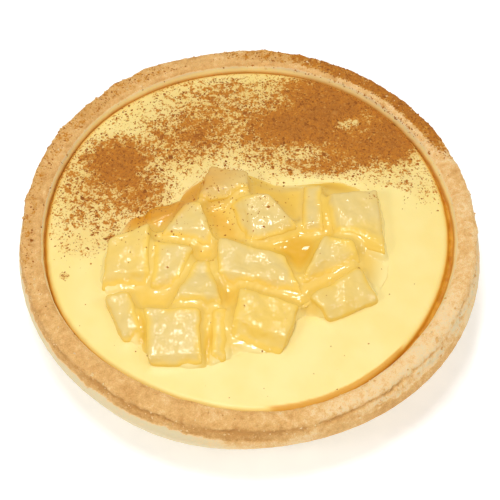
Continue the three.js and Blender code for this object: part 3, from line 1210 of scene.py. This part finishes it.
@dataclass
class GapSyrup:
    """Browned syrup in the gap between the custard and the shell: a ring that reaches a little into both."""

    level: float = 21.3
    depth: float = 2.0
    climb: float = 0.5
    overlap: float = 0.5
    outside: float = 100.0
    steps: int = 360
    across: int = 6

    def build(self, shell: Object, filling: Object) -> None:
        """Lays the ring between the surfaces that rays from the middle and from outside meet.

        Args:
            shell: the pastry.
            filling: the custard.
        """
        wall, side = surface(shell), surface(filling)
        start = Vector((0, 0, self.level * MM))
        share = np.linspace(0, 1, self.across)
        top = self.level + self.climb * (2 * share - 1) ** 2
        rows = []
        for angle in np.linspace(0, 2 * math.pi, self.steps, endpoint=False):
            out = Vector((math.cos(angle), math.sin(angle), 0))
            far = start + self.outside * MM * out
            outer = wall.ray_cast(start, out)[0].to_2d().length / MM + self.overlap
            inner = side.ray_cast(far, -out)[0].to_2d().length / MM - self.overlap
            reach = inner + (outer - inner) * share
            ring = np.stack([reach * out.x, reach * out.y, top], axis=1)
            rows += [ring, ring[::-1] - np.array([0, 0, self.depth])]
        width = 2 * self.across
        faces = []
        for i in range(self.steps):
            here, there = i * width, (i + 1) % self.steps * width
            for j in range(width):
                after = (j + 1) % width
                faces.append([here + j, there + j, there + after, here + after])
        syrup = new_piece("gap_syrup", np.concatenate(rows), faces)
        syrup.data.shade_smooth()
        place(syrup, BrownedSyrup(), None)


@dataclass
class FruitHeap:
    """Diced fruit, and the jelly that lies between the dice, climbs their sides and fills narrow gaps."""

    prefix: str = "fruit_"
    suffix: str = "_dice"
    dice_voxel: float = 0.36
    dice_rounds: int = 2
    edge_rounds: int = 1
    swelling: float = 0.6
    edge_shrink: float = 0.45
    uneven: Relief = Relief(5.0, 0.5, 8)
    fibre: Relief = Relief(1.3, 0.09, 9)

    # The jelly's form
    jelly_voxel: float = 0.36
    pool_rounds: int = 2
    pool_reach: float = 0.5
    fillet: float = 1.7
    fillet_rounds: int = 4
    skin: float = 0.12
    skin_rounds: int = 1
    ripple: Relief = Relief(2.6, 0.13, 11)
    open_jelly: Range = (0.1, 0.8)
    edge_share: Range = (0.8, 0.97)
    edge_gap: Range = (0.2, 1.5)
    edge_height: float = 23.25
    top_facing: Range = (0.0, 0.4)
    sectors: int = 72

    # How deep the jelly looks: its margin is narrower at the back
    thin_share: float = 0.75
    back_share: float = 0.93
    back_y: Range = (-8, 4)
    back_x: Range = (12, 4)
    pool_depth: float = 0.6
    shown_fruit: float = 0.2
    shown_reach: float = 2.4
    deep_spots: tuple[Patch, ...] = (
        Patch(12.5, -8, 5, 5, 0, 0.5),
        Patch(-5, -21, 3, 3, 0, 0.2),
        Patch(20, 2, 2, 8, 0, 0.2),
    )
    amber_margin: tuple[Patch, ...] = (
        Patch(21, 14.3, 9, 2.2, -14, 0.7),
        Patch(-25.8, -32.5, 7, 1.6, -72, 0.6),
        Patch(-9.6, -35.5, 7, 1.6, 75, 0.45),
    )

    # Where the dice have taken the jelly's colour, where their sides get a painted glow, and where cinnamon
    # browned both
    soak_reach: float = 2.6
    # Painted glow: steep sides are drawn golden, as light passing through the fruit would light them.
    side_painted_glow: float = 0.45
    side_facing: Range = (0.9, 0.3)
    foot_soak: float = 0.6
    foot_height: Range = (25.4, 24.0)
    golden: tuple[Patch, ...] = (
        Patch(-31, -10, 8, 12, 0, 0.38),
        Patch(4, -29, 11, 10, 0, 0.5),
        Patch(24, -21, 9, 8, 0, 0.25),
        Patch(29, -6, 8, 5, 0, 0.6),
    )
    spiced: tuple[Patch, ...] = (
        Patch(-29.5, 4.5, 6, 4.5, 30, 0.9),
        Patch(-19, 8, 9, 4.5, 30, 0.65),
        Patch(-21.5, 4, 5, 4, 20, 0.5),
        Patch(-9, 15, 8, 7, 40, 0.5),
        Patch(-7, 0.5, 2.5, 6, 35, 0.4),
        Patch(6, 10, 9, 6, -35, 0.1),
    )

    def dice(self) -> list[Object]:
        """Makes each dice, crisp at its edges and a little fibrous.

        Returns:
            The dice.
        """
        made = []
        for node in sorted(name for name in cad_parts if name.startswith(self.prefix)):
            piece = solid_copy(node, node + self.suffix)
            soften(piece, self.dice_voxel, self.dice_rounds)
            self.sharpen(piece)
            points = points_of(piece.data)
            grow(piece, self.uneven.lift(points) + self.fibre.lift(points))
            made.append(piece)
        return made

    def sharpen(self, piece: Object) -> None:
        """Gives a dice the crisp edges of a knife, and swells it a little with syrup.

        Shrinking the dice keeps its faces and narrows the rounding of its edges. It is then stretched to
        its size, and its mesh is made even again, so that no face stays folded.

        Args:
            piece: the dice.
        """
        before = points_of(piece.data)
        low, high = before.min(axis=0) - self.swelling, before.max(axis=0) + self.swelling
        grow(piece, -self.edge_shrink)
        points = points_of(piece.data)
        inner_low, inner_high = points.min(axis=0), points.max(axis=0)
        share = (points - inner_low) / (inner_high - inner_low)
        set_points(piece.data, low + share * (high - low))
        soften(piece, self.dice_voxel, self.edge_rounds)

    def build(self, dice: Sequence[Object]) -> Object:
        """Makes the jelly round the dice, and finishes both.

        The pool and the dice are grown by the fillet, joined and shrunk back, so that the jelly bridges gaps
        narrower than twice the fillet and meets the dice in a curve. The dice stand out of it by its skin.

        Args:
            dice: the dice.

        Returns:
            The jelly.
        """
        pool = solid_copy("jelly", "pool")
        soften(pool, self.jelly_voxel, self.pool_rounds)
        grow(pool, self.pool_reach)
        fruit = merged("fruit", dice)
        jelly = merged("jelly_pool", [pool, fruit])
        soften(jelly, self.jelly_voxel, self.skin_rounds)
        grow(jelly, self.fillet)
        soften(jelly, self.jelly_voxel, self.fillet_rounds)
        grow(jelly, -self.fillet - self.skin)
        soften(jelly, self.jelly_voxel, self.skin_rounds)
        outside = self.distance_out(jelly, surface(fruit))
        grow(jelly, ease(outside, *self.open_jelly) * self.ripple.lift(points_of(jelly.data)))
        share = self.share_of_reach(jelly)
        self.thin_edge(jelly, share, outside)
        self.measure_depth(jelly, share, outside)
        self.soak(dice, jelly, outside)
        discard(pool, fruit)
        for piece in dice:
            place(piece, CookedFruit(), Slot.FRUIT, piece.name.removesuffix(self.suffix))
        place(jelly, AmberJelly(), Slot.JELLY, "jelly")
        return jelly

    def distance_out(self, jelly: Object, fruit: BVHTree) -> Array:
        """How far each vertex of the jelly is from the dice, less than 0 inside one.

        Args:
            jelly: the jelly.
            fruit: the surface of the dice.

        Returns:
            Distances in millimetres.
        """
        found = []
        for vertex in jelly.data.vertices:
            seat, normal, _, away = fruit.find_nearest(vertex.co)
            found.append(math.copysign(away, (vertex.co - seat).dot(normal)) / MM)
        return np.array(found)

    def share_of_reach(self, jelly: Object) -> Array:
        """How far out each vertex of the jelly is, from 0 in the pool's middle to 1 at its outline.

        Args:
            jelly: the jelly.

        Returns:
            The share for each vertex.
        """
        points = points_of(jelly.data)
        spoke = points[:, :2] - points[:, :2].mean(axis=0)
        radius = np.linalg.norm(spoke, axis=1)
        turn = (np.arctan2(spoke[:, 1], spoke[:, 0]) / (2 * math.pi)) % 1 * self.sectors
        reach = np.array([radius[turn.astype(int) == i].max() for i in range(self.sectors)])
        return radius / np.interp(turn, np.arange(self.sectors) + 0.5, reach, period=self.sectors)

    def thin_edge(self, jelly: Object, share: Array, outside: Array) -> None:
        """Lets the jelly's top run out on the custard, where no dice stands at its edge.

        Args:
            jelly: the jelly.
            share: how far out each vertex is.
            outside: its distances from the dice.
        """
        points = points_of(jelly.data)
        top = ease(normals_of(jelly.data)[:, 2], *self.top_facing)
        sink = ease(share, *self.edge_share) * ease(outside, *self.edge_gap) * top
        points[:, 2] -= sink * np.maximum(points[:, 2] - self.edge_height, 0)
        set_points(jelly.data, points)

    def measure_depth(self, jelly: Object, share: Array, outside: Array) -> None:
        """Stores how deep the jelly looks: thin towards its outline, and paler where fruit shows through it.

        Args:
            jelly: the jelly to measure.
            share: how far out each vertex is.
            outside: its distances from the dice.
        """
        points = points_of(jelly.data)
        back = ease(points[:, 1], *self.back_y) * ease(points[:, 0], *self.back_x)
        margin = ease(share, 1.0, self.thin_share) * (1 - back) + ease(share, 1.0, self.back_share) * back
        depth = self.pool_depth - self.shown_fruit * ease(outside, self.shown_reach, 0)
        depth += total(self.deep_spots, points)
        set_attribute(jelly.data, "depth", margin * depth + total(self.amber_margin, points))
        set_attribute(jelly.data, "cinnamon", self.spice(points))

    def spice(self, points: Array) -> Array:
        """How much the syrup is browned by cinnamon that fell into it, from 0 to 1."""
        return np.clip(total(self.spiced, points), 0, 1)

    def soak(self, dice: Sequence[Object], jelly: Object, outside: Array) -> None:
        """Stores how far the dice have taken the jelly's colour, near open jelly and at their feet, and a
        painted glow on their sides.

        Args:
            dice: the dice.
            jelly: the jelly.
            outside: the jelly's distances from the dice.
        """
        shown = np.flatnonzero(outside > self.skin)
        near = KDTree(len(shown))
        for i in shown:
            near.insert(jelly.data.vertices[i].co, i)
        near.balance()
        for piece in dice:
            away = np.array([near.find(vertex.co)[2] / MM for vertex in piece.data.vertices])
            points = points_of(piece.data)
            # Painted glow on the steep sides, standing in for light that passes through the fruit.
            sides = self.side_painted_glow * ease(normals_of(piece.data)[:, 2], *self.side_facing)
            foot = self.foot_soak * ease(points[:, 2], *self.foot_height)
            soak = np.maximum(np.maximum(sides, foot), ease(away, self.soak_reach, 0))
            set_attribute(piece.data, "soak", soak + total(self.golden, points))
            set_attribute(piece.data, "cinnamon", self.spice(points))


# The studio


@dataclass(frozen=True)
class Lamp:
    """A square soft box: where it hangs, its width and its power; it faces the pie."""

    name: str
    x: float
    y: float
    z: float
    width: float
    watts: float

    def hang(self) -> None:
        """Adds the lamp to the scene."""
        data = bpy.data.lights.new(self.name, "AREA")
        data.size = self.width * MM
        data.energy = self.watts
        lamp = add_object(self.name, data)
        lamp.location = Vector((self.x, self.y, self.z)) * MM
        lamp.rotation_euler = (-lamp.location).to_track_quat("-Z", "Y").to_euler()


@dataclass
class Studio:
    """A white floor, soft light from all round, and the camera that took the photograph's view."""

    elevation: float = 56.83
    distance: float = 420.0
    focal_pixels: float = 1638.5
    image_pixels: float = 500.0
    sensor: float = 36.0
    nearest: float = 10.0
    target: tuple[float, float, float] = (0.39, -7.34, 25.0)
    floor_width: float = 3000.0
    sky: str = "#FFFFFF"
    sky_strength: float = 0.46
    lamps: tuple[Lamp, ...] = (
        Lamp("overhead_box", -60, -60, 620, 115, 1.25),
        Lamp("left_box", -420, -300, 460, 110, 0.72),
        Lamp("right_box", 430, -180, 440, 160, 0.35),
        Lamp("front_box", 140, -460, 430, 70, 0.2),
        Lamp("back_box", 10, 230, 610, 75, 0.36),
    )

    def floor(self) -> None:
        """Lays the floor at the pie's foot."""
        half = self.floor_width / 2
        corners = np.array([[-half, -half, 0], [half, -half, 0], [half, half, 0], [-half, half, 0]])
        floor = new_piece("floor", corners, [(0, 1, 2, 3)])
        floor.data.materials.append(PaleFloor().material())

    def light(self) -> None:
        """Hangs the lamps and lights the sky."""
        world = bpy.data.worlds.new("soft_white_room")
        world.use_nodes = True
        background = world.node_tree.nodes["Background"]
        feed(world.node_tree, background, {"Color": linear(self.sky), "Strength": self.sky_strength})
        bpy.context.scene.world = world
        for lamp in self.lamps:
            lamp.hang()
        bpy.context.scene.view_settings.view_transform = "Standard"

    def camera(self) -> None:
        """Sets the camera on the photograph's line of sight."""
        data = bpy.data.cameras.new("camera")
        data.sensor_width = self.sensor
        data.lens = self.focal_pixels / self.image_pixels * self.sensor
        data.clip_start = self.nearest * MM
        camera = add_object("camera", data)
        rise = math.radians(self.elevation)
        back = Vector((0, -math.cos(rise), math.sin(rise)))
        camera.location = (Vector(self.target) + back * self.distance) * MM
        camera.rotation_euler = (math.pi / 2 - rise, 0, 0)
        bpy.context.scene.camera = camera

    def build(self) -> None:
        """Sets up floor, light and camera."""
        self.floor()
        self.light()
        self.camera()


def main() -> None:
    """Builds the studio and then the pie from the shell up."""
    logging.basicConfig(level=logging.INFO, format="%(message)s")
    Studio().build()
    dusting = CinnamonDusting()
    heap = FruitHeap()
    dice = heap.dice()
    shell = Crust(dusting).build()
    filling = Custard(dusting).build(dice, shell)
    GapSyrup().build(shell, filling)
    jelly = heap.build(dice)
    dusting.build(shell, filling, jelly, dice)


if __name__ == "__main__":
    main()
